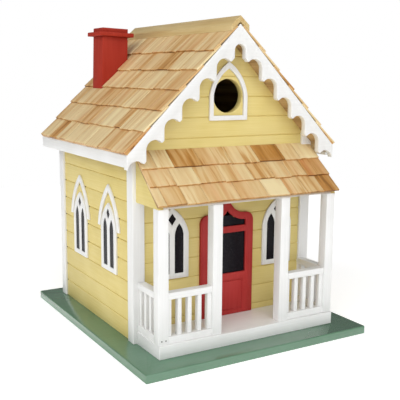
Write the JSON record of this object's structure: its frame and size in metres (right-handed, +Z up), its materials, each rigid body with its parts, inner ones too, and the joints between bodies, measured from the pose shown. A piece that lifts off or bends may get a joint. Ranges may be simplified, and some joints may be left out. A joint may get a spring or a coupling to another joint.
{
  "type": "birdhouse",
  "caption": "Cottage-shaped wooden birdhouse with a shingled gable roof, chimney, scalloped bargeboard, porch and a hinged rear clean-out door.",
  "frame": {"origin": "middle of the base board's underside", "axes": "+X to the viewer's right along the front, the porch and entrance face -Y, +Z up"},
  "size_m": [0.244, 0.272, 0.3072],
  "materials": {
    "yellow_paint": "satin painted wood",
    "white_paint": "satin painted wood",
    "green_paint": "satin painted wood",
    "red_paint": "satin painted wood",
    "cedar_shingle": "clear-finished cedar",
    "pine_board": "clear-finished pine",
    "bare_plywood": "bare plywood",
    "dark_glass": "gloss black sheet",
    "brass": "polished",
    "steel_screw": "zinc plated"
  },
  "bodies": {
    "house": {"bargeboard_front": "white_paint", "base_board": "green_paint", "chimney_cap": "red_paint", "chimney_collar": "red_paint", "chimney_shaft": "red_paint", "corner_post_front_left": "white_paint", "corner_post_front_right": "white_paint", "corner_post_rear_left": "white_paint", "corner_post_rear_right": "white_paint", "door_glass": "dark_glass", "door_stop_battens": "bare_plywood", "eave_fascia_left": "white_paint", "eave_fascia_right": "white_paint", "entrance_trim": "white_paint", "front_door": "red_paint", "front_railing_left": "white_paint", "front_railing_right": "white_paint", "front_wall": "yellow_paint", "hinge_leaves_fixed": "brass", "hinge_pins": "brass", "hinge_screws_wall": "steel_screw", "porch_cheek_left": "yellow_paint", "porch_cheek_right": "yellow_paint", "porch_deck": "white_paint", "porch_header": "white_paint", "porch_post_inner_left": "white_paint", "porch_post_inner_right": "white_paint", "porch_post_outer_left": "white_paint", "porch_post_outer_right": "white_paint", "porch_roof_panel": "white_paint", "porch_shingles_1": "cedar_shingle", "porch_shingles_2": "cedar_shingle", "porch_shingles_3": "cedar_shingle", "rear_wall": "yellow_paint", "ridge_cap_left": "pine_board", "ridge_cap_right": "pine_board", "roof_panel_left": "bare_plywood", "roof_panel_right": "bare_plywood", "shingles_left_lower": "cedar_shingle", "shingles_left_middle": "cedar_shingle", "shingles_left_upper": "cedar_shingle", "shingles_right_lower": "cedar_shingle", "shingles_right_middle": "cedar_shingle", "shingles_right_upper": "cedar_shingle", "side_railing_left": "white_paint", "side_railing_right": "white_paint", "side_wall_left": "yellow_paint", "side_wall_right": "yellow_paint", "starter_strips": "cedar_shingle", "turn_button_screw": "steel_screw", "window_frames_front": "white_paint", "window_frames_left": "white_paint", "window_frames_right": "white_paint", "window_glass": "dark_glass", "window_hoods": "white_paint"},
    "cleanout_door": {"cleanout_door": "yellow_paint", "cleanout_knob": "white_paint", "hinge_leaves_moving": "brass", "hinge_screws_door": "steel_screw"},
    "turn_button": {"turn_button": "white_paint"}
  },
  "joints": [
    {"name": "cleanout_hinge", "type": "hinge", "parent": "house", "child": "cleanout_door", "pos_m": [-0.0427, 0.1188, 0.081], "axis": [0, 0, 1], "range_deg": [0, 110]},
    {"name": "turn_button_swivel", "type": "hinge", "parent": "house", "child": "turn_button", "pos_m": [0.052, 0.1193, 0.081], "axis": [0, 1, 0], "range_deg": [0, 90]}
  ]
}
